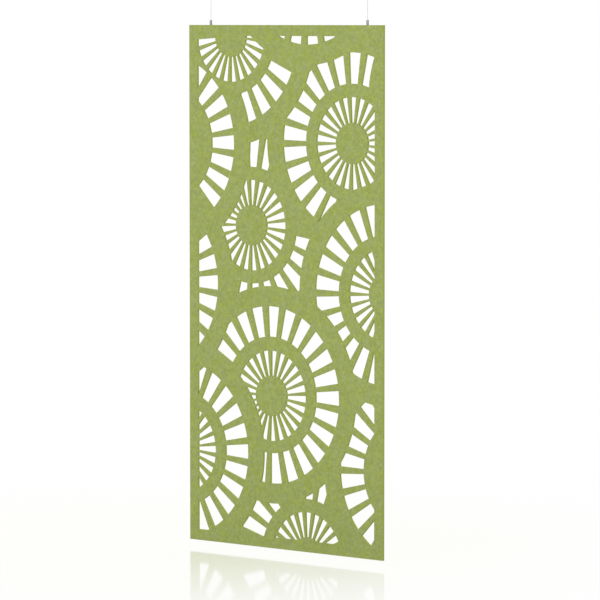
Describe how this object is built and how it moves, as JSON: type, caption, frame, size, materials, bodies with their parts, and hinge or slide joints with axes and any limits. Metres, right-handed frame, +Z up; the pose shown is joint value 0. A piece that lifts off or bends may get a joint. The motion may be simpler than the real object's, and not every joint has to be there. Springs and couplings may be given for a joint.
{
  "type": "hanging acoustic felt screen",
  "caption": "Flat felt sheet cut with overlapping rings of radial slots, hung from the ceiling on two thin steel wires with ball-grip height adjusters.",
  "frame": {"origin": "on the ceiling plane, midway between the two ceiling fixings", "axes": "+Z up, +X along the sheet to the right as seen from the front, -Y towards the front"},
  "size_m": [1.16, 0.016, 2.55],
  "materials": {
    "felt": "needled pressed PET felt, matt, with short fibres",
    "insert_brass": "plain turned",
    "satin_steel": "satin nickel-plated, finely turned",
    "bright_steel": "bright",
    "steel_wire": "stranded galvanised wire rope"
  },
  "bodies": {
    "ceiling": {"ceiling_base_left": "satin_steel", "ceiling_base_right": "satin_steel", "ceiling_cap_left": "satin_steel", "ceiling_cap_right": "satin_steel"},
    "wires": {"wire_left": "steel_wire", "wire_right": "steel_wire", "wire_ball_left": "bright_steel", "wire_ball_right": "bright_steel"},
    "panel": {"felt_panel": "felt", "edge_insert_left": "insert_brass", "edge_insert_right": "insert_brass", "end_plug_left": "satin_steel", "end_plug_right": "satin_steel", "gripper_housing_left": "satin_steel", "gripper_housing_right": "satin_steel", "release_spring_left": "bright_steel", "release_spring_right": "bright_steel"},
    "release_left": {"release_tube_left": "bright_steel", "grip_balls_left": "bright_steel"},
    "release_right": {"release_tube_right": "bright_steel", "grip_balls_right": "bright_steel"}
  },
  "joints": [
    {"name": "panel_swing", "type": "hinge", "parent": "ceiling", "child": "wires", "pos_m": [0, 0, -0.016], "axis": [1, 0, 0], "range_deg": [-15, 15]},
    {"name": "height_adjust", "type": "slide", "parent": "wires", "child": "panel", "axis": [0, 0, 1], "range_m": [0, 0.02]},
    {"name": "release_left_press", "type": "slide", "parent": "panel", "child": "release_left", "axis": [0, 0, -1], "range_m": [0, 0.0015], "stiffness_N_per_m": 400, "springref_m": -0.004, "deforming": ["release_spring_left"]},
    {"name": "release_right_press", "type": "slide", "parent": "panel", "child": "release_right", "axis": [0, 0, -1], "range_m": [0, 0.0015], "stiffness_N_per_m": 400, "springref_m": -0.004, "deforming": ["release_spring_right"]}
  ]
}
